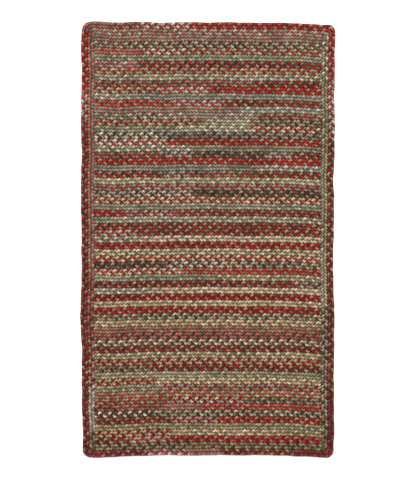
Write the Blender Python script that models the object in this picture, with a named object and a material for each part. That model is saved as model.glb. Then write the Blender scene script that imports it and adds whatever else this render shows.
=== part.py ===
"""Braided rug, lying flat: 63 straight braids laced side by side, framed by two rounds of the same braid.

+X runs along the straight braids and +Y up the rug's length. The rug lies on z = 0, centred on the origin.
"""

import math

import bmesh
import bpy

# Driving dimensions, in metres
BRAID = 0.023  # width of a braid, and so the distance from one row to the next
THICKNESS = 0.0105  # height of a braid's crown above the floor
RUG_WIDTH = 0.901  # across both borders, where the edge neither bulges nor draws in
STRIPS = 21  # strips of the field, counted from the top
BRAIDS_A_STRIP = 3  # straight braids in a strip, each a ridge of it
ROUNDS = 2  # rounds of braid about the field
GAP = 0.0003  # between two neighbouring pieces
SPANS_ACROSS = 8  # straight stretches along a strip
SPANS_A_CORNER = 4  # straight stretches about a rounded corner
INNERMOST_RADIUS = 0.0006  # corner of the inner border, where it meets the field
MIDDLE_RADIUS = 0.017  # corner between the two rounds

FIELD_WIDTH = RUG_WIDTH - 2 * ROUNDS * BRAID
FIELD_LENGTH = STRIPS * BRAIDS_A_STRIP * BRAID
RUG_LENGTH = FIELD_LENGTH + 2 * ROUNDS * BRAID

# A braid's ridge in section: (place across the braid, height), as shares of its width and its thickness.
# The crown is full, the sides are round, and the underside is pressed flat by the rug's weight.
RIDGE_TOP = ((0.00, 0.66), (0.20, 0.93), (0.50, 1.00), (0.80, 0.93), (1.00, 0.66))
RIDGE_UNDERSIDE = ((1.00, 0.32), (0.72, 0.00), (0.28, 0.00), (0.00, 0.32))

# How far the hand-laid edge bulges out (+) or draws in (-), in metres, from one end of a side to the other.
# (place along the side, bulge)
LEFT_EDGE = (
    (-0.760, -0.0060),
    (-0.680, -0.0050),
    (-0.590, -0.0025),
    (-0.415, -0.0020),
    (-0.260, 0.0032),
    (-0.160, -0.0005),
    (0.010, -0.0012),
    (0.175, 0.0017),
    (0.295, -0.0020),
    (0.420, 0.0013),
    (0.580, -0.0020),
    (0.690, 0.0010),
    (0.750, -0.0015),
)
RIGHT_EDGE = (
    (-0.760, -0.0030),
    (-0.645, 0.0000),
    (-0.500, -0.0018),
    (-0.300, 0.0007),
    (-0.105, -0.0040),
    (-0.020, -0.0030),
    (0.140, -0.0008),
    (0.210, -0.0028),
    (0.295, 0.0000),
    (0.410, 0.0021),
    (0.520, 0.0005),
    (0.665, 0.0018),
    (0.740, 0.0039),
)
TOP_EDGE = (
    (-0.405, 0.0042),
    (-0.320, 0.0000),
    (-0.220, 0.0016),
    (-0.160, -0.0006),
    (-0.090, 0.0016),
    (0.010, 0.0012),
    (0.140, -0.0008),
    (0.310, -0.0022),
    (0.420, -0.0080),
)
BOTTOM_EDGE = (
    (-0.400, 0.0074),
    (-0.350, 0.0068),
    (-0.260, 0.0026),
    (-0.180, -0.0006),
    (0.020, -0.0008),
    (0.280, 0.0003),
    (0.335, 0.0036),
    (0.420, 0.0074),
)

# Corners of the outer edge, going round from the top right: (toward x, toward y, radius along x, along y)
CORNERS = (
    (1, 1, 0.024, 0.025),
    (-1, 1, 0.040, 0.030),
    (-1, -1, 0.030, 0.027),
    (1, -1, 0.024, 0.025),
)

# Yarn colours, linear: (name, red, green, blue)
YARNS = (
    ("red", 0.42, 0.020, 0.025),
    ("deep red", 0.29, 0.008, 0.014),
    ("rose", 0.46, 0.110, 0.090),
    ("sage", 0.24, 0.230, 0.140),
    ("slate", 0.18, 0.210, 0.170),
    ("brown", 0.10, 0.055, 0.038),
    ("tan", 0.56, 0.400, 0.250),
)

# The yarn that shows most in each strip, from the top
STRIP_YARNS = (
    ("rose", "sage", "red", "deep red", "sage", "red", "sage")
    + ("red", "slate", "brown", "red", "red", "brown", "tan")
    + ("tan", "red", "tan", "red", "sage", "red", "tan")
)
INNER_BORDER_YARN = "sage"
OUTER_BORDER_YARN = "red"
YARN_ROUGHNESS = 0.95


def bulge(edge, place):
    """The bulge at a place along an edge: an easy swell from one row of its table to the next."""
    if place <= edge[0][0]:
        return edge[0][1]
    for (start, before), (end, after) in zip(edge, edge[1:]):
        if place <= end:
            share = (place - start) / (end - start)
            return before + (after - before) * share * share * (3 - 2 * share)
    return edge[-1][1]


def as_laid(x, y):
    """Where a point of the even, rectangular rug lies once the edges bulge and draw in."""
    right = x / RUG_WIDTH + 0.5
    up = y / RUG_LENGTH + 0.5
    along_x = right * bulge(RIGHT_EDGE, y) - (1 - right) * bulge(LEFT_EDGE, y)
    along_y = up * bulge(TOP_EDGE, x) - (1 - up) * bulge(BOTTOM_EDGE, x)
    return x + along_x, y + along_y


def between(a, b, share):
    """The point a share of the way from a to b."""
    return tuple(p + (q - p) * share for p, q in zip(a, b))


def section(ridges, width):
    """A closed outline of ridges side by side: (place across, height), inset by half a gap at both sides."""
    top = [(0, RIDGE_TOP[0][1])]
    underside = []
    for ridge in range(ridges):
        top += [(ridge + across, height) for across, height in RIDGE_TOP[1:]]
    for ridge in reversed(range(ridges)):
        underside += [(ridge + across, height) for across, height in RIDGE_UNDERSIDE[:-1]]
    underside.append((0, RIDGE_UNDERSIDE[-1][1]))
    inset = GAP / 2 / width
    return [
        (inset + (1 - 2 * inset) * across / ridges, height * THICKNESS)
        for across, height in top + underside
    ]


def loft(name, rings, closed):
    """One closed body through rings of points. An open loft has its two ends capped."""
    mesh = bpy.data.meshes.new(name)
    form = bmesh.new()
    loops = [[form.verts.new(point) for point in ring] for ring in rings]
    followed_by = loops[1:] + loops[:1] if closed else loops[1:]
    for here, there in zip(loops, followed_by):
        for i in range(len(here)):
            j = (i + 1) % len(here)
            form.faces.new((here[i], here[j], there[j], there[i]))
    if not closed:
        form.faces.new(loops[0])
        form.faces.new(loops[-1])
    bmesh.ops.recalc_face_normals(form, faces=form.faces)
    form.to_mesh(mesh)
    form.free()
    return mesh


def yarn_material(name, yarn):
    """A dull, soft yarn of one named colour."""
    colour = next(row[1:] for row in YARNS if row[0] == yarn)
    material = bpy.data.materials.new(name)
    material.use_nodes = True
    shader = material.node_tree.nodes["Principled BSDF"]
    shader.inputs["Base Color"].default_value = (*colour, 1)
    shader.inputs["Roughness"].default_value = YARN_ROUGHNESS
    shader.inputs["Metallic"].default_value = 0
    return material


def add(name, mesh, yarn, place, parent):
    """An object whose origin is at place. The mesh's points are given about that origin."""
    mesh.materials.append(yarn_material(f"{name} yarn", yarn))
    mesh.shade_smooth()
    mesh.set_sharp_from_angle(angle=math.radians(50))
    piece = bpy.data.objects.new(name, mesh)
    piece.location = place
    piece.parent = parent
    bpy.context.collection.objects.link(piece)
    return piece


def stations(length, spans):
    """Places that split a length, centred on zero, into equal spans."""
    return [length * (i / spans - 0.5) for i in range(spans + 1)]


ROW_ENDS = stations(FIELD_LENGTH, STRIPS)
SPAN_ENDS = stations(FIELD_WIDTH, SPANS_ACROSS)


def corner_radii(corner, rounds_out):
    """Radii of a corner's arc on the edge that lies this many rounds outside the field."""
    _, _, outer_x, outer_y = corner
    if rounds_out == 0:
        return INNERMOST_RADIUS, INNERMOST_RADIUS
    if rounds_out < ROUNDS:
        return MIDDLE_RADIUS, MIDDLE_RADIUS
    return outer_x, outer_y


def round_edge(rounds_out):
    """The closed edge that lies this many rounds outside the field, going round against the clock."""
    half_x = FIELD_WIDTH / 2 + rounds_out * BRAID
    half_y = FIELD_LENGTH / 2 + rounds_out * BRAID
    points = []
    for quarter, corner in enumerate(CORNERS):
        toward_x, toward_y, _, _ = corner
        radius_x, radius_y = corner_radii(corner, rounds_out)
        middle_x = toward_x * (half_x - radius_x)
        middle_y = toward_y * (half_y - radius_y)
        for i in range(SPANS_A_CORNER + 1):
            angle = math.pi / 2 * (quarter + i / SPANS_A_CORNER)
            points.append((middle_x + radius_x * math.cos(angle), middle_y + radius_y * math.sin(angle)))
        # The side that follows this corner has a station wherever the field beside it has one.
        if quarter % 2 == 0:
            points += [(-toward_x * x, toward_y * half_y) for x in SPAN_ENDS[1:-1]]
        else:
            points += [(toward_x * half_x, -toward_y * y) for y in ROW_ENDS[1:-1]]
    return [as_laid(x, y) for x, y in points]


def middle_of(points):
    """The middle of the box about a list of points."""
    return tuple((min(axis) + max(axis)) / 2 for axis in zip(*points))


RUG_MIDDLE = middle_of(round_edge(ROUNDS))


def field_strip(number, parent):
    """A strip of straight braids, from border to border. Strip 1 is at the top."""
    low, high = ROW_ENDS[STRIPS - number], ROW_ENDS[STRIPS - number + 1]
    inset = GAP / 2
    ends = [SPAN_ENDS[0] + inset] + SPAN_ENDS[1:-1] + [SPAN_ENDS[-1] - inset]
    outline = section(BRAIDS_A_STRIP, high - low)
    middle = (-RUG_MIDDLE[0], (low + high) / 2 - RUG_MIDDLE[1])
    rings = []
    for x in ends:
        below, above = as_laid(x, low), as_laid(x, high)
        ring = []
        for across, height in outline:
            point_x, point_y = between(below, above, across)
            ring.append((point_x, point_y - (low + high) / 2, height))
        rings.append(ring)
    name = f"field_strip_{number:02d}"
    return add(name, loft(name, rings, closed=False), STRIP_YARNS[number - 1], (*middle, 0), parent)


def border_round(name, number, yarn, parent):
    """A braid laid once round the rug. Round 1 lies against the field."""
    inside, outside = round_edge(number - 1), round_edge(number)
    outline = section(1, BRAID)
    rings = []
    for near, far in zip(inside, outside):
        ring = []
        for across, height in outline:
            ring.append((*between(near, far, across), height))
        rings.append(ring)
    place = (-RUG_MIDDLE[0], -RUG_MIDDLE[1], 0)
    return add(name, loft(name, rings, closed=True), yarn, place, parent)


def build():
    for old in list(bpy.data.objects):
        bpy.data.objects.remove(old)
    rug = bpy.data.objects.new("rug", None)
    bpy.context.collection.objects.link(rug)
    for number in range(1, STRIPS + 1):
        field_strip(number, rug)
    border_round("inner_border", 1, INNER_BORDER_YARN, rug)
    border_round("outer_border", 2, OUTER_BORDER_YARN, rug)


build()
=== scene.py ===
"""Braided rug, dressed: every braid is three interlaced strands of space-dyed yarn.

Lengths are in metres. A braid is worked out lying straight, in braid space: x along it, y across it from its
middle line, and z up. It is then laid where the frame's solids lie.
"""

import math

import bmesh
import bpy
import numpy as np
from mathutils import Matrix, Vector


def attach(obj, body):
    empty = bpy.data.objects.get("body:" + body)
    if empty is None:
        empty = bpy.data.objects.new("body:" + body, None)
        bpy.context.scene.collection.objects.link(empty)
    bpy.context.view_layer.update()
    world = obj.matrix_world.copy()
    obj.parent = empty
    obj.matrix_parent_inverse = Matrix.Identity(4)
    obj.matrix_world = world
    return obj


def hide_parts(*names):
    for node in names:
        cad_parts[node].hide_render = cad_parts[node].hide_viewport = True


# Driving sizes of the rug, the same as the frame's
BRAID = 0.023  # width of a braid, and so the distance from one row to the next
THICKNESS = 0.0105  # height of a braid's crown above the floor
RUG_WIDTH = 0.901
STRIPS = 21  # strips of the field, counted from the top
BRAIDS_A_STRIP = 3
ROUNDS = 2  # rounds of braid about the field
INNERMOST_RADIUS = 0.0006  # corner of the inner round, where it meets the field
MIDDLE_RADIUS = 0.017  # corner between the two rounds
SPANS_A_CORNER = 24  # straight stretches in a corner of a round
SPANS_A_SIDE = 80  # straight stretches in a side of a round
FIELD_WIDTH = RUG_WIDTH - 2 * ROUNDS * BRAID
FIELD_LENGTH = STRIPS * BRAIDS_A_STRIP * BRAID
RUG_LENGTH = FIELD_LENGTH + 2 * ROUNDS * BRAID

# How far the hand-laid edge bulges out (+) or draws in (-): (place along the side, bulge)
LEFT_EDGE = (
    (-0.760, -0.0060),
    (-0.680, -0.0050),
    (-0.590, -0.0025),
    (-0.415, -0.0020),
    (-0.260, 0.0032),
    (-0.160, -0.0005),
    (0.010, -0.0012),
    (0.175, 0.0017),
    (0.295, -0.0020),
    (0.420, 0.0013),
    (0.580, -0.0020),
    (0.690, 0.0010),
    (0.750, -0.0015),
)
RIGHT_EDGE = (
    (-0.760, -0.0030),
    (-0.645, 0.0000),
    (-0.500, -0.0018),
    (-0.300, 0.0007),
    (-0.105, -0.0040),
    (-0.020, -0.0030),
    (0.140, -0.0008),
    (0.210, -0.0028),
    (0.295, 0.0000),
    (0.410, 0.0021),
    (0.520, 0.0005),
    (0.665, 0.0018),
    (0.740, 0.0039),
)
TOP_EDGE = (
    (-0.405, 0.0042),
    (-0.320, 0.0000),
    (-0.220, 0.0016),
    (-0.160, -0.0006),
    (-0.090, 0.0016),
    (0.010, 0.0012),
    (0.140, -0.0008),
    (0.310, -0.0022),
    (0.420, -0.0080),
)
BOTTOM_EDGE = (
    (-0.400, 0.0074),
    (-0.350, 0.0068),
    (-0.260, 0.0026),
    (-0.180, -0.0006),
    (0.020, -0.0008),
    (0.280, 0.0003),
    (0.335, 0.0036),
    (0.420, 0.0074),
)

# Corners of the outer edge, going round from the top right: (toward x, toward y, radius along x, along y)
CORNERS = (
    (1, 1, 0.024, 0.025),
    (-1, 1, 0.040, 0.030),
    (-1, -1, 0.030, 0.027),
    (1, -1, 0.024, 0.025),
)

# The plait: its strands swing from side to side, and over and under one another
STRANDS = 3
TURN = 0.0357  # length of braid in which a strand comes back to its place
TILE = TURN / STRANDS  # length after which each strand is where the next one was: the plait's skin repeats
SWING = 0.0069  # a strand's swing to either side
SQUARE = -0.03  # how much the swing lingers at the sides (+) or hurries there (-)
LIFT = 0.00222  # how far a strand rises and dips as it passes over and under
LATE = 0.05  # how far outside of midway the crown stands, as a share of the lift
STEEP = 0.05  # how much a strand dives at the braid's middle line
STRAND_WIDTH = 0.0098  # widest, at the braid's side
PINCH = 0.05  # how much narrower a strand is where the other two press on it, at the middle line
STRAND_THICKNESS = 0.0046  # thinnest, at the middle line
ROLL = 0.5  # how much thicker it is where it turns over, at the braid's side
FULLNESS = 0.85  # 1 is an oval section, and less is a fuller one
CORE = STRANDS  # number of the yarn pressed flat in the depth of the plait, beside strands 0 to 2
CORE_WIDTH = 0.0236  # a little over the braid's, so that no floor shows between braids
CORE_THICKNESS = 0.0026

# The plait's mesh
SIDES = 12  # faces round a strand
STEPS = 12  # stations in a turn, a multiple of the number of strands
TURNS_UNITED = 3  # turns of the plait that are made, to cut one tile out of the middle one
FIRST_STEP = 1  # the station of the middle turn where that tile starts
SHORTEST_EDGE = 0.0008  # a shorter edge is closed up
SHORTEST_UNDERNEATH = 0.0030  # the same, on the side that lies on the floor
PASSES = 12  # times at most that the mesh is gone over for short edges
ON_PLANE = 2e-6  # a point this near to a cutting plane is taken to lie on it

# How unevenly the braids are plaited and laid
SEED = 11
PITCH_SPREAD = 0.008  # share by which a straight braid's turns are longer or shorter, at most
DRIFT = 0.0010  # how far its lumps stray along it
DRIFT_WAVES = ((7, 11), (15, 22))  # the strays' waves a metre, between two numbers
PUFF = 0.0007  # how far the fullest lump stands out beyond the flattest
PUFF_STEP = 0.5  # of a turn, between one lump and the next
PUFF_BALANCE = 0.6  # share of the puff at which a lump keeps its size
PUFF_FOOT = THICKNESS / 3  # height below which no lump stands out downwards
TUCK = 0.0010  # how far a straight braid's end is pushed in beyond the field's edge
END_LENGTH = 0.005  # stretch at a straight braid's end that is pressed down
END_SIZE = 0.7  # height of its end, as a share of the braid's

# Small unevenness of the lacing: (waves a metre along x, along y, phase, shift along x, shift along y)
WAVERS = (
    (2.3, 7.1, 0.4, 0.0005, 0.0006),
    (5.9, 3.7, 2.1, 0.0004, 0.0007),
    (9.7, 13.0, 4.4, 0.0005, 0.0003),
    (17.0, 21.0, 1.3, 0.0003, 0.0003),
)

# Yarns: name, and the dark and the light shade that it is dyed in, in eight-bit sRGB
YARNS = {
    "ruby": ((114, 4, 8), (160, 16, 18)),
    "red": ((134, 15, 14), (182, 40, 37)),
    "rose": ((144, 50, 48), (196, 92, 84)),
    "salmon": ((154, 74, 64), (204, 120, 102)),
    "sage": ((106, 96, 73), (160, 147, 113)),
    "pale sage": ((133, 126, 97), (189, 180, 144)),
    "slate": ((103, 100, 90), (157, 153, 138)),
    "olive": ((95, 86, 58), (148, 134, 94)),
    "brown": ((62, 37, 30), (111, 73, 59)),
    "taupe": ((102, 80, 67), (155, 128, 109)),
    "tan": ((154, 119, 88), (200, 165, 129)),
    "peach": ((189, 159, 131), (220, 196, 168)),
    "cream": ((181, 168, 146), (219, 206, 188)),
    "lilac": ((150, 124, 120), (206, 184, 178)),
}

# Yarns of the straight braids from the top: the three strands' yarns, and between two such sets the place
# along +X where the first gives way to the next
FIELD_YARNS = (
    (("salmon", "sage", "slate"),),
    (("brown", "pale sage", "taupe"),),
    (("salmon", "rose", "sage"), -0.22, ("red", "cream", "sage"), -0.08, ("red", "pale sage", "sage")),
    (("pale sage", "sage", "slate"),),
    (("rose", "lilac", "sage"), -0.26, ("red", "brown", "sage")),
    (("red", "sage", "pale sage"),),
    (("peach", "sage", "slate"),),
    (("rose", "brown", "sage"), 0.17, ("ruby", "brown", "sage")),
    (("red", "sage", "pale sage"), -0.15, ("red", "cream", "sage"), 0.00, ("red", "red", "sage")),
    (("slate", "cream", "sage"), -0.31, ("slate", "slate", "pale sage")),
    (("red", "rose", "sage"), -0.12, ("red", "lilac", "sage"), 0.07, ("red", "brown", "sage")),
    (("salmon", "sage", "slate"), 0.13, ("cream", "sage", "slate")),
    (
        ("taupe", "taupe", "pale sage"),
        -0.28,
        ("brown", "lilac", "sage"),
        -0.16,
        ("taupe", "lilac", "sage"),
        0.19,
        ("red", "slate", "sage"),
    ),
    (("red", "sage", "pale sage"), -0.02, ("pale sage", "cream", "sage"), 0.15, ("brown", "sage", "sage")),
    (("slate", "pale sage", "sage"), -0.10, ("cream", "sage", "pale sage"), 0.16, ("red", "peach", "sage")),
    (("brown", "cream", "sage"), -0.19, ("brown", "slate", "sage")),
    (("red", "cream", "sage"), -0.15, ("red", "red", "sage")),
    (("olive", "cream", "slate"), -0.05, ("sage", "sage", "slate")),
    (
        ("rose", "brown", "sage"),
        -0.16,
        ("brown", "lilac", "sage"),
        -0.06,
        ("brown", "brown", "sage"),
        0.20,
        ("brown", "lilac", "sage"),
        0.31,
        ("ruby", "brown", "sage"),
    ),
    (("red", "red", "sage"),),
    (("slate", "slate", "sage"), 0.17, ("slate", "cream", "sage")),
    (
        ("red", "brown", "sage"),
        -0.16,
        ("brown", "lilac", "taupe"),
        -0.06,
        ("brown", "salmon", "sage"),
        0.10,
        ("red", "brown", "sage"),
    ),
    (("peach", "pale sage", "sage"),),
    (("red", "slate", "sage"),),
    (("brown", "lilac", "sage"), -0.05, ("brown", "brown", "sage")),
    (("red", "peach", "sage"),),
    (("sage", "slate", "pale sage"),),
    (("red", "red", "sage"), -0.28, ("red", "lilac", "sage"), -0.12, ("red", "brown", "sage")),
    (("slate", "slate", "sage"), -0.35, ("peach", "slate", "sage")),
    (("red", "brown", "sage"),),
    (("red", "lilac", "sage"), -0.24, ("red", "brown", "sage")),
    (("slate", "peach", "sage"), -0.21, ("peach", "peach", "sage")),
    (("ruby", "red", "sage"),),
    (("peach", "pale sage", "olive"),),
    (("red", "peach", "olive"),),
    (("brown", "brown", "sage"), -0.13, ("brown", "cream", "sage"), 0.06, ("brown", "sage", "pale sage")),
    (("red", "peach", "sage"), -0.10, ("rose", "red", "sage")),
    (("sage", "slate", "pale sage"), 0.025, ("sage", "peach", "olive")),
    (("ruby", "brown", "sage"), 0.32, ("brown", "lilac", "sage")),
    (("slate", "peach", "sage"), -0.19, ("peach", "peach", "sage")),
    (("ruby", "ruby", "sage"),),
    (("peach", "tan", "sage"),),
    (("ruby", "red", "sage"),),
    (("brown", "sage", "pale sage"),),
    (("tan", "peach", "olive"),),
    (("rose", "sage", "olive"),),
    (("rose", "brown", "taupe"),),
    (("peach", "brown", "sage"),),
    (("ruby", "brown", "sage"),),
    (("sage", "peach", "olive"),),
    (("ruby", "tan", "sage"),),
    (("brown", "taupe", "sage"), -0.21, ("ruby", "brown", "sage")),
    (
        ("tan", "sage", "pale sage"),
        -0.17,
        ("pale sage", "pale sage", "sage"),
        0.03,
        ("sage", "pale sage", "olive"),
    ),
    (("ruby", "tan", "sage"), -0.18, ("peach", "tan", "olive")),
    (("taupe", "sage", "pale sage"), -0.18, ("red", "sage", "slate")),
    (("rose", "tan", "olive"),),
    (("red", "sage", "taupe"), -0.13, ("ruby", "lilac", "olive"), 0.12, ("brown", "taupe", "sage")),
    (("rose", "brown", "olive"), -0.15, ("rose", "taupe", "sage"), -0.03, ("rose", "red", "sage")),
    (("brown", "cream", "brown"), -0.21, ("brown", "sage", "pale sage")),
    (("ruby", "brown", "olive"), -0.13, ("ruby", "lilac", "sage"), 0.03, ("ruby", "red", "sage")),
    (("sage", "tan", "olive"), 0.08, ("sage", "pale sage", "olive")),
    (("ruby", "tan", "sage"), -0.13, ("tan", "peach", "sage"), 0.27, ("tan", "sage", "olive")),
    (("ruby", "brown", "sage"), -0.29, ("red", "lilac", "sage"), -0.13, ("ruby", "red", "sage")),
)

# Yarns of the two rounds, going round clockwise from the top right corner. Between two sets stands the point
# (x, y) where the first gives way to the next.
INNER_YARNS = (
    ("cream", "taupe", "olive"),
    (0.41, 0.567),
    ("sage", "pale sage", "olive"),
    (0.41, -0.003),
    ("sage", "pale sage", "taupe"),
    (0.41, -0.216),
    ("brown", "sage", "slate"),
    (0.41, -0.600),
    ("brown", "sage", "olive"),
    (-0.41, -0.683),
    ("pale sage", "lilac", "taupe"),
    (-0.41, -0.512),
    ("rose", "sage", "brown"),
    (-0.41, -0.130),
    ("rose", "sage", "taupe"),
    (-0.41, 0.740),
    ("rose", "pale sage", "slate"),
)
OUTER_YARNS = (
    ("red", "red", "sage"),
    (0.44, 0.585),
    ("red", "lilac", "sage"),
    (0.44, 0.389),
    ("ruby", "brown", "sage"),
    (0.44, -0.150),
    ("ruby", "brown", "olive"),
    (0.44, -0.520),
    ("brown", "ruby", "brown"),
    (0.30, -0.76),
    ("ruby", "brown", "olive"),
    (0.06, -0.76),
    ("rose", "taupe", "sage"),
    (-0.064, -0.76),
    ("red", "lilac", "sage"),
    (-0.224, -0.76),
    ("ruby", "brown", "taupe"),
    (-0.44, 0.417),
    ("red", "lilac", "sage"),
    (-0.44, 0.512),
    ("red", "red", "sage"),
    (-0.44, 0.735),
    ("rose", "taupe", "sage"),
    (-0.35, 0.76),
    ("red", "taupe", "sage"),
    (-0.256, 0.76),
    ("red", "cream", "sage"),
    (-0.056, 0.76),
    ("red", "red", "sage"),
)

# How the colours run along a yarn, and the painted shade across a braid
BLEND = 0.018  # length over which one yarn gives way to the next
SHADE_STEP = 0.25  # of a turn, between two shades dyed along a yarn
SLOW_STEPS = 7  # shades from one slow change of shade to the next
SLOW_SHARE = 0.4  # share of the slow changes in the shade
SHADE_ENDS = (0.15, 0.85)  # chance below and above which a yarn has its dark and its light shade
CORE_PAINTED_SHADE = 0.55  # painted shade: share of the yarns' dark shades kept for what is seen deep in the plait
CREASE_PAINTED_SHADE = 0.8  # painted shade in the creases: share of a yarn's colour kept half way down the braid
CREASE_RISE = 0.48  # height above half way, in thicknesses, where the painted crease shade ends
LANE_SHADE = 0.6  # shade painted in along a braid's sides and its middle line, as a share of the colour
LANE_LEAN = 0.3  # how much more of it lies at the middle line, and less at the sides
LANE_SWAY = 0.003  # how far the shade down the middle sways to either side, between the lumps
OPEN_SIDE = 0.75  # place across the outer round beyond which there is no such shade
FIBRE_STEP = 0.731  # metres of yarn between one strand's pattern of fibres and the next one's

# The yarn's fine structure. A noise has waves a metre along the yarn, waves a ply round it, and its detail.
PLIES = 16  # round a strand
PLY_SLANT = 60  # plies crossed in a metre along the strand
PLY_PAINTED_SHADE = 0.72  # painted shade: share of the colour kept between two plies
PLY_HEIGHT = 0.0007
PLY_STRENGTH = 0.7  # of the bump
HEATHER = (90, 7.3, 1)  # changes from ply to ply
HEATHER_TONES = (0.86, 1.14)
FLECK = (160, 2.6, 2)  # changes within a ply
FLECK_TONES = (0.86, 1.14)
HAIR = (500, 5.0, 3)  # fine hair, in the bump alone
HAIR_HEIGHT = 0.6  # of a ply's
NOISE_ENDS = (0.3, 0.7)  # a noise texture's usual least and most
YARN_ROUGHNESS = 0.9
YARN_SPECULAR = 0.1
YARN_SHEEN = 0.04
YARN_SHEEN_ROUGHNESS = 0.5

# Floor, light and camera
FLOOR_REACH = 40.0  # from the rug's middle to the floor's ends
FLOOR_COLOUR = (0.9, 0.9, 0.9, 1)
FLOOR_ROUGHNESS = 0.9
ROOM_LIGHT = 0.78
LAMP_HEIGHT = 60  # degrees above the floor
LAMP_SPREAD = 30  # degrees
LAMP_POWER = 3.6
VIEW_LENGTH = 1.7052  # of floor, from the bottom of the photograph to its top
VIEW_MIDDLE = (0.0004, -0.0009)
CAMERA_HEIGHT = 8.0
CAMERA_REACH = 50  # farthest that it sees
SENSOR_HEIGHT = 36  # millimetres

# Workings
FIRST_ROUND = 200  # the rounds are numbered on from here, past every straight braid
LAYING_DRAWS = 100  # keeps the random draws of how a straight braid is laid apart from the others
LOOKUP_POINTS = 4000  # along a straight braid, between which its ends are looked up
NUDGE = 1e-5  # step over which a rate of change is taken


def linear(colour):
    """An eight-bit sRGB colour as linear light."""
    share = np.asarray(colour) / 255
    return np.where(share <= 0.04045, share / 12.92, ((share + 0.055) / 1.055) ** 2.4)


# ---- Where the rug lies ----


def bulge(edge, place):
    """The bulge at places along an edge: an easy swell from one row of its table to the next."""
    places, swells = np.array(edge).T
    row = np.clip(np.searchsorted(places, place), 1, len(places) - 1)
    share = np.clip((place - places[row - 1]) / (places[row] - places[row - 1]), 0, 1)
    return swells[row - 1] + (swells[row] - swells[row - 1]) * share * share * (3 - 2 * share)


def as_laid(x, y):
    """Where points of the even, rectangular rug lie once the edges bulge and draw in."""
    right = x / RUG_WIDTH + 0.5
    up = y / RUG_LENGTH + 0.5
    along_x = right * bulge(RIGHT_EDGE, y) - (1 - right) * bulge(LEFT_EDGE, y)
    along_y = up * bulge(TOP_EDGE, x) - (1 - up) * bulge(BOTTOM_EDGE, x)
    return x + along_x, y + along_y


def corner_radii(corner, rounds_out):
    """Radii of a corner's arc on the edge that lies this many rounds outside the field."""
    _, _, outer_x, outer_y = corner
    if rounds_out == 0:
        return INNERMOST_RADIUS, INNERMOST_RADIUS
    if rounds_out < ROUNDS:
        return MIDDLE_RADIUS, MIDDLE_RADIUS
    return outer_x, outer_y


def round_edge(rounds_out):
    """The closed edge this many rounds outside the field, against the clock from the top right corner."""
    half_x = FIELD_WIDTH / 2 + rounds_out * BRAID
    half_y = FIELD_LENGTH / 2 + rounds_out * BRAID
    points = []
    for quarter, corner in enumerate(CORNERS):
        toward_x, toward_y, _, _ = corner
        radius_x, radius_y = corner_radii(corner, rounds_out)
        for i in range(SPANS_A_CORNER + 1):
            angle = math.pi / 2 * (quarter + i / SPANS_A_CORNER)
            x = toward_x * (half_x - radius_x) + radius_x * math.cos(angle)
            y = toward_y * (half_y - radius_y) + radius_y * math.sin(angle)
            points.append((x, y))
        for i in range(1, SPANS_A_SIDE):
            share = 1 - 2 * i / SPANS_A_SIDE
            if quarter % 2 == 0:
                points.append((toward_x * share * FIELD_WIDTH / 2, toward_y * half_y))
            else:
                points.append((toward_x * half_x, toward_y * share * FIELD_LENGTH / 2))
    return np.array(points)


def rug_middle():
    """The middle of the outer edge's box, which is the frame's origin."""
    x, y = as_laid(*round_edge(ROUNDS).T)
    return (x.min() + x.max()) / 2, (y.min() + y.max()) / 2


MIDDLE_X, MIDDLE_Y = rug_middle()


def laid(points):
    """Points of the even rug, moved to where they lie."""
    x, y = as_laid(points[:, 0], points[:, 1])
    x = x - MIDDLE_X
    y = y - MIDDLE_Y
    wave_x = np.zeros_like(x)
    wave_y = np.zeros_like(y)
    for along, up, phase, shift_x, shift_y in WAVERS:
        angle = 2 * math.pi * (along * points[:, 0] + up * points[:, 1]) + phase
        wave_x += shift_x * np.sin(angle)
        wave_y += shift_y * np.cos(angle + phase)
    return np.stack([x + wave_x, y + wave_y, points[:, 2]], axis=1)


# ---- The plait ----


def strand_line(angle):
    """A strand's middle, across and up, and its half width and half thickness, square to the braid."""
    across = SWING * (np.sin(angle) + SQUARE * np.sin(3 * angle))
    lean = SWING * 2 * math.pi / TURN * (np.cos(angle) + 3 * SQUARE * np.cos(3 * angle))
    up = THICKNESS / 2 + LIFT * (np.sin(2 * angle) - LATE * np.sin(4 * angle) + STEEP * np.sin(6 * angle))
    half_width = STRAND_WIDTH / 2 * (1 - PINCH * np.cos(angle) ** 2) * np.sqrt(1 + lean**2)
    half_thickness = STRAND_THICKNESS / 2 * (1 + ROLL * np.sin(angle) ** 2)
    return across, up, half_width, half_thickness


def loft(name, rings, strand):
    """A closed tube through rings of points, its faces marked with the strand they belong to."""
    form = bmesh.new()
    rings = [[form.verts.new(point) for point in ring] for ring in rings]
    for here, there in zip(rings, rings[1:]):
        for j in range(len(here)):
            k = (j + 1) % len(here)
            form.faces.new((here[k], there[k], there[j], here[j]))
    form.faces.new(rings[0])
    form.faces.new(rings[-1])
    bmesh.ops.recalc_face_normals(form, faces=form.faces)
    mark = form.faces.layers.int.new("strand")
    for face in form.faces:
        face[mark] = strand
    mesh = bpy.data.meshes.new(name)
    form.to_mesh(mesh)
    form.free()
    piece = bpy.data.objects.new(name, mesh)
    bpy.context.scene.collection.objects.link(piece)
    return piece


def strand_tube(strand, stations):
    """One strand alone. Its rings stand in planes square to the braid, at the stations."""
    around = 2 * math.pi * (np.arange(SIDES) + 0.5) / SIDES
    side = np.sign(np.cos(around)) * np.abs(np.cos(around)) ** FULLNESS
    rise = np.sign(np.sin(around)) * np.abs(np.sin(around)) ** FULLNESS
    rings = []
    lines = strand_line(2 * math.pi * (stations / TURN + strand / STRANDS))
    for x, across, up, half_width, half_thickness in zip(stations, *lines):
        rings.append([(x, across + half_width * s, up + half_thickness * r) for s, r in zip(side, rise)])
    return loft(f"strand_{strand}", rings, strand)


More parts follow.
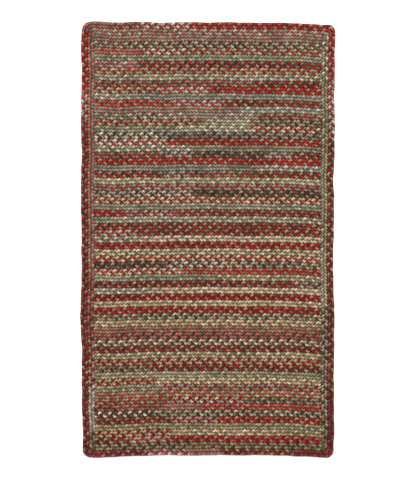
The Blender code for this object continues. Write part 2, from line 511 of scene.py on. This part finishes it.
def core_slab(stations):
    """The yarn in the depth of the plait, which closes the eyes between the strands."""
    half = CORE_WIDTH / 2
    low = (THICKNESS - CORE_THICKNESS) / 2
    high = (THICKNESS + CORE_THICKNESS) / 2
    rings = [[(x, -half, low), (x, half, low), (x, half, high), (x, -half, high)] for x in stations]
    return loft("core", rings, CORE)


def united(pieces):
    """The outer skin of pieces that run through one another, as bmesh data. The pieces are used up."""
    first = pieces[0]
    for other in pieces[1:]:
        union = first.modifiers.new(other.name, "BOOLEAN")
        union.operation = "UNION"
        union.object = other
        union.solver = "MANIFOLD"
    mesh = bpy.data.meshes.new_from_object(first.evaluated_get(bpy.context.evaluated_depsgraph_get()))
    form = bmesh.new()
    form.from_mesh(mesh)
    bpy.data.meshes.remove(mesh)
    for piece in pieces:
        bpy.data.meshes.remove(piece.data)
    return form


def plait_cell():
    """One tile of the plait's skin: (points, triangles, strand of each triangle, first rim, last rim).

    The next tile is the same with the strands' places passed on by one, so the cell repeats along a braid.
    The two rims are lists of points, in step with each other.
    """
    stations = np.arange(TURNS_UNITED * STEPS + 1) * TURN / STEPS
    form = united([strand_tube(strand, stations) for strand in range(STRANDS)] + [core_slab(stations)])
    start = stations[STEPS + FIRST_STEP]
    cut_between(form, start, start + TILE)
    bmesh.ops.triangulate(form, faces=form.faces)
    drop_short_rim_edges(form)
    drop_short_edges(form)
    form.verts.index_update()
    points = np.array([vert.co[:] for vert in form.verts])
    triangles = np.array([[vert.index for vert in face.verts] for face in form.faces])
    mark = form.faces.layers.int["strand"]
    strands = np.array([face[mark] for face in form.faces])
    rim = np.array([vert.index for vert in form.verts if vert.is_boundary])
    form.free()
    middle = start + TILE / 2
    first = rim[points[rim, 0] < middle]
    last = rim[points[rim, 0] > middle]
    apart = np.linalg.norm(points[first][:, None, 1:] - points[last][None, :, 1:], axis=2)
    points[:, 0] -= TURN
    return points, triangles, strands, first, last[apart.argmin(axis=1)]


def cut_between(form, low, high):
    """Keeps what stands between two planes square to the braid."""
    for place, outward in ((low, -1), (high, 1)):
        everything = form.verts[:] + form.edges[:] + form.faces[:]
        normal = (outward, 0, 0)
        bmesh.ops.bisect_plane(
            form, geom=everything, dist=ON_PLANE, plane_co=(place, 0, 0), plane_no=normal, clear_outer=True
        )


def neighbours(vert):
    """The points that edges join to a point."""
    return {edge.other_vert(vert) for edge in vert.link_edges}


def by_length(edges):
    """Edges, the shortest first."""
    return sorted(edges, key=lambda edge: edge.calc_length())


def least_length(here, there):
    """The shortest that an edge between two points may be."""
    return SHORTEST_UNDERNEATH if here.co.z + there.co.z < THICKNESS else SHORTEST_EDGE


def twin(vert, rim):
    """The point of the last rim that is the like of a point of the first."""
    spot = vert.co + Vector((TILE, 0, 0))
    return min(rim, key=lambda other: (other.co - spot).length)


def may_meet(here, there):
    """Whether two points of a rim may be brought together: they are joined, and share one neighbour alone."""
    near_here, near_there = neighbours(here), neighbours(there)
    return there in near_here and len(near_here & near_there) == 1


def drop_short_rim_edges(form):
    """Closes up the short edges of the first rim, and their like on the last rim."""
    for _ in range(PASSES):
        rim = [vert for vert in form.verts if vert.is_boundary]
        first_x = min(vert.co.x for vert in rim)
        used = set()
        onto = {}
        for edge in by_length(edge for edge in form.edges if edge.is_boundary):
            here, there = edge.verts
            if here.co.x - first_x > TILE / 2 or edge.calc_length() > least_length(here, there):
                continue
            pairs = ((here, there), (twin(here, rim), twin(there, rim)))
            if any(a in used or b in used or not may_meet(a, b) for a, b in pairs):
                continue
            for a, b in pairs:
                onto[a] = b
                used |= neighbours(a) | neighbours(b)
        if not onto:
            return
        bmesh.ops.weld_verts(form, targetmap=onto)


def would_wall(kept, dropped):
    """Whether a face would come to lie in a rim's plane if a point were moved onto a point of the rim."""
    others = (face for face in dropped.link_faces if kept not in face.verts)
    return any(all(vert.is_boundary for vert in face.verts if vert is not dropped) for face in others)


def drop_short_edges(form):
    """Closes up edges too short to matter, and longer ones underneath. A point on a rim stays where it is."""
    for _ in range(PASSES):
        used = set()
        onto = {}
        for edge in by_length(form.edges):
            here, there = edge.verts
            if edge.calc_length() > least_length(here, there):
                continue
            near_here, near_there = neighbours(here), neighbours(there)
            both_on_rim = here.is_boundary and there.is_boundary
            if both_on_rim or here in used or there in used or len(near_here & near_there) != 2:
                continue
            if here.is_boundary or there.is_boundary:
                kept, dropped = (here, there) if here.is_boundary else (there, here)
                if would_wall(kept, dropped):
                    continue
                onto[dropped] = kept
            else:
                there.co = (here.co + there.co) / 2
                onto[here] = there
            used |= near_here | near_there
        if not onto:
            return
        bmesh.ops.weld_verts(form, targetmap=onto)


def plait_tiles(cell, first_tile, count, closed):
    """A braid of so many tiles: (points, triangles, strand of each triangle).

    A closed braid's last tile is joined to its first. An open one leaves its last tile's points bare.
    """
    points, triangles, strands, first, last = cell
    own = np.setdiff1d(np.arange(len(points)), last)
    rank = np.zeros(len(points), int)
    rank[own] = np.arange(len(own))
    rank[last] = rank[first] + len(own)
    places = []
    corners = []
    tile_strands = []
    for i in range(count):
        places.append(points[own] + (TILE * (first_tile + i), 0, 0))
        if closed or i < count - 1:
            corners.append(rank[triangles] + i * len(own))
            tile_strands.append(np.where(strands == CORE, CORE, (strands - first_tile - i) % STRANDS))
    corners = np.concatenate(corners)
    if closed:
        corners %= count * len(own)
    return np.concatenate(places), corners, np.concatenate(tile_strands)


def cut_off(points, triangles, strands, low, high):
    """The stretch of an open braid between two places, with its ends closed."""
    mesh = bpy.data.meshes.new("stretch")
    mesh.from_pydata(points.tolist(), [], triangles.tolist())
    mesh.attributes.new("strand", "INT", "FACE").data.foreach_set("value", strands.astype(np.int32))
    form = bmesh.new()
    form.from_mesh(mesh)
    cut_between(form, low, high)
    ends = bmesh.ops.holes_fill(form, edges=[edge for edge in form.edges if edge.is_boundary], sides=0)
    mark = form.faces.layers.int["strand"]
    for face in ends["faces"]:
        face[mark] = CORE
    bmesh.ops.triangulate(form, faces=form.faces)
    form.to_mesh(mesh)
    form.free()
    arrays = mesh_arrays(mesh)
    bpy.data.meshes.remove(mesh)
    return arrays


def mesh_arrays(mesh):
    """A triangle mesh's points, corners and strands."""
    points = np.empty(len(mesh.vertices) * 3)
    mesh.vertices.foreach_get("co", points)
    corners = np.empty(len(mesh.loops), np.int32)
    mesh.loops.foreach_get("vertex_index", corners)
    strands = np.empty(len(mesh.polygons), np.int32)
    mesh.attributes["strand"].data.foreach_get("value", strands)
    return points.reshape(-1, 3), corners.reshape(-1, 3), strands


# ---- The yarns along a braid ----


def soft_noise(rng, places, step):
    """Smooth random numbers from 0 to 1 along places, with a new one each step."""
    knots = rng.random(int(np.ptp(places) / step) + 3)
    spot = (places - places.min()) / step
    before = spot.astype(int)
    share = spot - before
    share = share * share * (3 - 2 * share)
    return knots[before] * (1 - share) + knots[before + 1] * share


def easy(share):
    """A share from 0 to 1, eased at both ends."""
    share = np.clip(share, 0, 1)
    return share * share * (3 - 2 * share)


def yarn_colours(rng, chart, strand, along, turns):
    """Colours along one strand. Between two yarn sets the chart has the place where the first one ends."""
    quick = soft_noise(rng, turns, SHADE_STEP)
    slow = soft_noise(rng, turns, SHADE_STEP * SLOW_STEPS)
    darkest, lightest = SHADE_ENDS
    chance = (1 - SLOW_SHARE) * quick + SLOW_SHARE * slow
    shade = easy((chance - darkest) / (lightest - darkest))[:, None]

    def dyed(yarns):
        """The strand's colours, were it of this set's yarn all along."""
        dark, light = (linear(tone) for tone in YARNS[yarns[strand]])
        return dark + (light - dark) * shade

    colours = dyed(chart[0])
    for place, yarns in zip(chart[1::2], chart[2::2]):
        change = place + rng.uniform(-BLEND, BLEND)
        share = easy((along - change) / BLEND + 0.5)[:, None]
        colours = colours + (dyed(yarns) - colours) * share
    return colours


def core_colours(chart, along):
    """The mean of a braid's dark shades, darkened again by painted shade, for what is seen deep in the plait.
    """
    means = np.array([np.mean([linear(YARNS[yarn][0]) for yarn in yarns], axis=0) for yarns in chart[::2]])
    return CORE_PAINTED_SHADE * means[np.searchsorted(chart[1::2], along)]


# ---- Pieces ----


class Braid:
    """One braid, in braid space: its points and triangles, its yarns, and how it is to be laid."""

    def __init__(self, number, arrays, chart, lay, along, open_side=1):
        """lay moves points of braid space to where they lie. along turns their x into places on the chart."""
        self.number = number
        self.points, self.triangles, self.strands = arrays
        self.chart = chart
        self.lay = lay
        self.along = along
        self.open_side = open_side

    def at_corners(self):
        """Each triangle corner's point, normal, strand, angle along the turn and angle round the strand."""
        spots = self.points[self.triangles.ravel()]
        strand = np.repeat(self.strands, 3)
        angle = 2 * math.pi * (spots[:, 0] / TURN + strand / STRANDS)
        across, up, half_width, half_thickness = strand_line(angle)
        after = strand_line(angle + NUDGE * 2 * math.pi / TURN)
        before = strand_line(angle - NUDGE * 2 * math.pi / TURN)
        across_rate, up_rate, width_rate, thickness_rate = (
            (there - here) / (2 * NUDGE) for there, here in zip(after, before)
        )
        side = (spots[:, 1] - across) / half_width
        rise = (spots[:, 2] - up) / half_thickness
        power = 2 / FULLNESS - 1
        by_side = np.sign(side) * np.abs(side) ** power
        by_rise = np.sign(rise) * np.abs(rise) ** power
        normals = np.stack(
            [
                -by_side * (across_rate + side * width_rate) / half_width
                - by_rise * (up_rate + rise * thickness_rate) / half_thickness,
                by_side / half_width,
                by_rise / half_thickness,
            ],
            axis=1,
        )
        a, b, c = (self.points[self.triangles[:, i]] for i in range(3))
        flat = np.repeat(np.cross(b - a, c - a), 3, axis=0)
        core = strand == CORE
        normals[core] = flat[core]
        return spots, normals, strand, angle, np.arctan2(rise, side)

    def colours(self, spots, strand, angle):
        """Each corner's colour, with painted crease shade. Its fourth channel is its place across the braid.

        The place is a share of the braid's width, and sways with the shade down its middle.
        """
        rng = np.random.default_rng([SEED, self.number])
        along = self.along(spots[:, 0])
        # Painted shade in the creases: the colour darkens towards half way down the braid
        depth = easy(np.abs(spots[:, 2] / THICKNESS - 0.5) / CREASE_RISE)[:, None]
        colours = np.empty((len(spots), 4))
        for k in range(STRANDS):
            mine = strand == k
            yarn = yarn_colours(rng, self.chart, k, along[mine], angle[mine] / (2 * math.pi))
            colours[mine, :3] = yarn * (CREASE_PAINTED_SHADE + (1 - CREASE_PAINTED_SHADE) * depth[mine])
        core = strand == CORE
        # Painted shade: what is seen deep in the plait is coloured darker than its yarns
        colours[core, :3] = core_colours(self.chart, along[core])
        sway = np.cos(STRANDS * 2 * math.pi * spots[:, 0] / TURN) * (1 - (2 * spots[:, 1] / BRAID) ** 2)
        colours[:, 3] = np.minimum(0.5 + (spots[:, 1] + LANE_SWAY * sway) / BRAID, self.open_side)
        return colours

    def fibres(self, spots, strand, around):
        """Each corner's place on its yarn: metres along it, and plies round it."""
        along = spots[:, 0] + FIBRE_STEP * (STRANDS * self.number + strand)
        turn = around.reshape(-1, 3) / (2 * math.pi)
        turn = turn - np.round(turn - turn[:, :1])
        return np.stack([along, turn.ravel() * PLIES], axis=1)


def laid_normals(lay, spots, normals):
    """Normals of braid space as they stand once the braid is laid."""
    a, b, c = ((lay(spots + step) - lay(spots - step)) / (2 * NUDGE) for step in NUDGE * np.eye(3))
    turned = (
        np.cross(b, c) * normals[:, :1] + np.cross(c, a) * normals[:, 1:2] + np.cross(a, b) * normals[:, 2:]
    )
    return turned / np.linalg.norm(turned, axis=1, keepdims=True)


def puffed(braid, places, normals):
    """Points of a laid braid, each lump a little fuller or flatter than the next. Creases stay in place."""
    corners = braid.triangles.ravel()
    strand = np.repeat(braid.strands, 3)
    lowest = np.full(len(places), CORE)
    highest = np.full(len(places), -1)
    np.minimum.at(lowest, corners, strand)
    np.maximum.at(highest, corners, strand)
    plain = lowest == highest
    outward = np.zeros_like(places)
    outward[corners] = normals
    swell = np.zeros(len(places))
    for k in range(STRANDS):
        turns = braid.points[:, 0] / TURN + k / STRANDS
        noise = soft_noise(np.random.default_rng([SEED, braid.number, k]), turns, PUFF_STEP)
        mine = plain & (lowest == k)
        swell[mine] = PUFF * (noise[mine] - PUFF_BALANCE)
    low = places[:, 2] < PUFF_FOOT
    outward[low, 2] = np.maximum(outward[low, 2], 0)
    return places + outward * swell[:, None]


def dressed(name, braids, material):
    """One piece made of braids side by side."""
    parts = []
    start = 0
    for braid in braids:
        spots, normals, strand, angle, around = braid.at_corners()
        normals = laid_normals(braid.lay, spots, normals)
        points = puffed(braid, braid.lay(braid.points), normals)
        colours = braid.colours(spots, strand, angle)
        parts.append((points, braid.triangles + start, normals, colours, braid.fibres(spots, strand, around)))
        start += len(points)
    points, corners, normals, colours, places = (np.concatenate(column) for column in zip(*parts))
    mesh = bpy.data.meshes.new(name)
    mesh.vertices.add(len(points))
    mesh.vertices.foreach_set("co", points.astype(np.float32).ravel())
    mesh.loops.add(corners.size)
    mesh.loops.foreach_set("vertex_index", corners.astype(np.int32).ravel())
    mesh.polygons.add(len(corners))
    mesh.polygons.foreach_set("loop_start", np.arange(0, corners.size, 3, dtype=np.int32))
    mesh.update(calc_edges=True)
    mesh.shade_smooth()
    yarn = mesh.color_attributes.new("yarn", "FLOAT_COLOR", "CORNER")
    yarn.data.foreach_set("color", colours.astype(np.float32).ravel())
    fibres = mesh.uv_layers.new(name="fibres")
    fibres.data.foreach_set("uv", places.astype(np.float32).ravel())
    mesh.normals_split_custom_set(normals.astype(np.float32))
    mesh.materials.append(material)
    piece = bpy.data.objects.new(name, mesh)
    bpy.context.scene.collection.objects.link(piece)
    return piece


def field_braid(number, cell, chart):
    """One straight braid. Braid 0 is at the top of the field."""
    rng = np.random.default_rng([SEED, LAYING_DRAWS, number])
    middle = FIELD_LENGTH / 2 - (number + 0.5) * BRAID
    shift = rng.uniform(0, TURN)
    stretch = 1 + rng.uniform(-PITCH_SPREAD, PITCH_SPREAD)
    waves = [(rng.uniform(*waves_a_metre), rng.uniform(0, 2 * math.pi)) for waves_a_metre in DRIFT_WAVES]
    half = FIELD_WIDTH / 2 + TUCK

    def along(u):
        """Where places along the braid lie across the field, with the braid's own pitch and its strays."""
        x = shift + u * stretch
        for waves_a_metre, phase in waves:
            x = x + DRIFT * np.sin(2 * math.pi * waves_a_metre * u + phase)
        return x

    fine = np.linspace(-FIELD_WIDTH, FIELD_WIDTH, LOOKUP_POINTS)
    low, high = np.interp((-half, half), along(fine), fine)
    # One tile more at both ends, to be cut off, and one for the points that end the last tile
    first_tile = math.floor(low / TILE) - 1
    count = math.ceil(high / TILE) + 2 - first_tile
    arrays = cut_off(*plait_tiles(cell, first_tile, count, closed=False), low, high)

    def lay(spots):
        """Points of braid space where they lie in the field, with the braid's ends pressed down."""
        x = along(spots[:, 0])
        inward = np.clip((half - np.abs(x)) / END_LENGTH, 0, 1)
        squeeze = END_SIZE + (1 - END_SIZE) * np.sqrt(1 - (1 - inward) ** 2)
        return laid(np.stack([x, middle + spots[:, 1], spots[:, 2] * squeeze], axis=1))

    return Braid(number, arrays, chart, lay, along)


def border_braid(number, cell, chart):
    """The braid of one round, and its length. Round 1 lies against the field. It runs round clockwise."""
    near, far = (np.roll(round_edge(rounds_out)[::-1], 1, axis=0) for rounds_out in (number - 1, number))
    near = np.concatenate([near, near[:1]])
    far = np.concatenate([far, far[:1]])
    middle = (near + far) / 2
    walked = np.concatenate([[0], np.cumsum(np.linalg.norm(np.diff(middle, axis=0), axis=1))])
    length = walked[-1]
    turns = round(length / TURN)
    stretch = length / (turns * TURN)

    def along(u):
        """How far round places along the braid lie, in metres from its start."""
        return u * stretch

    def lay(spots):
        """Points of braid space where they lie, between the round's two edges."""
        place = along(spots[:, 0]) % length
        out = 0.5 + spots[:, 1] / BRAID
        x, y = (
            np.interp(place, walked, near[:, axis]) * (1 - out) + np.interp(place, walked, far[:, axis]) * out
            for axis in (0, 1)
        )
        return laid(np.stack([x, y, spots[:, 2]], axis=1))

    walked_chart = list(chart)
    for i in range(1, len(chart), 2):
        walked_chart[i] = walked[np.linalg.norm(middle - np.array(chart[i]), axis=1).argmin()]
    arrays = plait_tiles(cell, 0, STRANDS * turns, closed=True)
    open_side = OPEN_SIDE if number == ROUNDS else 1
    return Braid(FIRST_ROUND + number, arrays, walked_chart, lay, along, open_side), length


# ---- Materials ----


def yarn_material(name):
    """Soft, matt yarn: each strand is a bundle of flecked, heathered plies with fine hair, and painted shade.
    """
    material = bpy.data.materials.new(name)
    material.use_nodes = True
    nodes = material.node_tree.nodes
    links = material.node_tree.links
    shader = nodes["Principled BSDF"]
    shader.inputs["Roughness"].default_value = YARN_ROUGHNESS
    shader.inputs["Specular IOR Level"].default_value = YARN_SPECULAR
    shader.inputs["Sheen Weight"].default_value = YARN_SHEEN
    shader.inputs["Sheen Roughness"].default_value = YARN_SHEEN_ROUGHNESS

    def math_node(operation, *values):
        """The result of a maths node whose inputs are numbers or other nodes' results."""
        node = nodes.new("ShaderNodeMath")
        node.operation = operation
        for socket, value in zip(node.inputs, values):
            if isinstance(value, (int, float)):
                socket.default_value = value
            else:
                links.new(value, socket)
        return node.outputs["Value"]

    def noise(along, across, waves_along, waves_across, detail):
        """A noise texture over the yarn's skin."""
        place = nodes.new("ShaderNodeCombineXYZ")
        links.new(math_node("MULTIPLY", along, waves_along), place.inputs["X"])
        links.new(math_node("MULTIPLY", across, waves_across), place.inputs["Y"])
        texture = nodes.new("ShaderNodeTexNoise")
        texture.inputs["Scale"].default_value = 1
        texture.inputs["Detail"].default_value = detail
        links.new(place.outputs["Vector"], texture.inputs["Vector"])
        return texture.outputs["Fac"]

    def tone(value, low, high):
        """A noise's result, spread from a low to a high tone."""
        spread = nodes.new("ShaderNodeMapRange")
        spread.inputs["From Min"].default_value = NOISE_ENDS[0]
        spread.inputs["From Max"].default_value = NOISE_ENDS[1]
        spread.inputs["To Min"].default_value = low
        spread.inputs["To Max"].default_value = high
        links.new(value, spread.inputs["Value"])
        return spread.outputs["Result"]

    colour = nodes.new("ShaderNodeAttribute")
    colour.attribute_name = "yarn"
    fibres = nodes.new("ShaderNodeUVMap")
    fibres.uv_map = "fibres"
    place = nodes.new("ShaderNodeSeparateXYZ")
    links.new(fibres.outputs["UV"], place.inputs["Vector"])
    along = place.outputs["X"]
    across = math_node("MULTIPLY_ADD", along, PLY_SLANT, place.outputs["Y"])

    ridge = math_node("ABSOLUTE", math_node("SINE", math_node("MULTIPLY", across, math.pi)))
    ply_tone = tone(noise(along, math_node("FLOOR", across), *HEATHER), *HEATHER_TONES)
    hair = noise(along, across, *HAIR)
    fleck_tone = tone(noise(along, across, *FLECK), *FLECK_TONES)
    # Painted shade in the grooves between plies
    painted_ply_shade = math_node("MULTIPLY_ADD", ridge, 1 - PLY_PAINTED_SHADE, PLY_PAINTED_SHADE)
    # The attribute's fourth channel is the place across the braid, whose sides and middle get painted shade
    lanes = math_node("COSINE", math_node("MULTIPLY", colour.outputs["Alpha"], 4 * math.pi))
    sides = math_node("COSINE", math_node("MULTIPLY", colour.outputs["Alpha"], 2 * math.pi))
    loss = math_node("MULTIPLY_ADD", lanes, LANE_SHADE / 2, LANE_SHADE / 2)
    loss = math_node("MULTIPLY", loss, math_node("MULTIPLY_ADD", sides, -LANE_LEAN, 1))
    shade = math_node("SUBTRACT", 1, loss)
    for part in (ply_tone, fleck_tone, painted_ply_shade):
        shade = math_node("MULTIPLY", shade, part)
    shaded = nodes.new("ShaderNodeVectorMath")
    shaded.operation = "SCALE"
    links.new(colour.outputs["Color"], shaded.inputs[0])
    links.new(shade, shaded.inputs["Scale"])
    links.new(shaded.outputs["Vector"], shader.inputs["Base Color"])

    bump = nodes.new("ShaderNodeBump")
    bump.inputs["Strength"].default_value = PLY_STRENGTH
    bump.inputs["Distance"].default_value = PLY_HEIGHT
    links.new(math_node("MULTIPLY_ADD", hair, HAIR_HEIGHT, ridge), bump.inputs["Height"])
    links.new(bump.outputs["Normal"], shader.inputs["Normal"])
    return material


# ---- Floor, light and camera ----


def floor():
    """A plain pale floor."""
    mesh = bpy.data.meshes.new("floor")
    ways = ((-1, -1), (1, -1), (1, 1), (-1, 1))
    mesh.from_pydata([(FLOOR_REACH * x, FLOOR_REACH * y, 0) for x, y in ways], [], [(0, 1, 2, 3)])
    material = bpy.data.materials.new("floor")
    material.use_nodes = True
    shader = material.node_tree.nodes["Principled BSDF"]
    shader.inputs["Base Color"].default_value = FLOOR_COLOUR
    shader.inputs["Roughness"].default_value = FLOOR_ROUGHNESS
    mesh.materials.append(material)
    piece = bpy.data.objects.new("floor", mesh)
    bpy.context.scene.collection.objects.link(piece)


def light():
    """A bright even room, and one broad soft light from beyond the rug's top."""
    world = bpy.data.worlds.new("studio")
    world.use_nodes = True
    world.node_tree.nodes["Background"].inputs["Color"].default_value = (1, 1, 1, 1)
    world.node_tree.nodes["Background"].inputs["Strength"].default_value = ROOM_LIGHT
    bpy.context.scene.world = world
    lamp = bpy.data.lights.new("softbox", "SUN")
    lamp.angle = math.radians(LAMP_SPREAD)
    lamp.energy = LAMP_POWER
    piece = bpy.data.objects.new("softbox", lamp)
    piece.rotation_euler = (math.radians(LAMP_HEIGHT - 90), 0, 0)
    bpy.context.scene.collection.objects.link(piece)


def camera():
    """Straight above, from far off, as in the photograph."""
    lens = bpy.data.cameras.new("camera")
    lens.sensor_fit = "VERTICAL"
    lens.sensor_height = SENSOR_HEIGHT
    lens.lens = SENSOR_HEIGHT * CAMERA_HEIGHT / VIEW_LENGTH
    lens.clip_end = CAMERA_REACH
    eye = bpy.data.objects.new("camera", lens)
    eye.location = (*VIEW_MIDDLE, CAMERA_HEIGHT + THICKNESS)
    bpy.context.scene.collection.objects.link(eye)
    bpy.context.scene.camera = eye
    bpy.context.scene.view_settings.view_transform = "Standard"


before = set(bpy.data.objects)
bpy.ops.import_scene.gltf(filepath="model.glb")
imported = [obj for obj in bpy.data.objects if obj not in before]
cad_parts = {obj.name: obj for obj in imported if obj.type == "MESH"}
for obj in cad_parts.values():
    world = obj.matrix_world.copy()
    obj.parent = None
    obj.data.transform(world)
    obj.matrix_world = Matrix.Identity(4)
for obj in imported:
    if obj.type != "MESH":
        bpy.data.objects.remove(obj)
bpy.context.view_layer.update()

cell = plait_cell()
field_yarn = yarn_material("field yarn")
for strip in range(1, STRIPS + 1):
    first = (strip - 1) * BRAIDS_A_STRIP
    braids = [field_braid(i, cell, FIELD_YARNS[i]) for i in range(first, first + BRAIDS_A_STRIP)]
    piece = dressed(f"field_braids_{strip:02d}", braids, field_yarn)
    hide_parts(f"field_strip_{strip:02d}")
    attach(piece, "root")

for number, name, slot, chart in (
    (1, "inner_border", "inner_border_braid", INNER_YARNS),
    (2, "outer_border", "outer_border_braid", OUTER_YARNS),
):
    braid, length = border_braid(number, cell, chart)
    piece = dressed(slot, [braid], yarn_material(f"{name} yarn"))
    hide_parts(name)
    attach(piece, "root")

floor()
light()
camera()
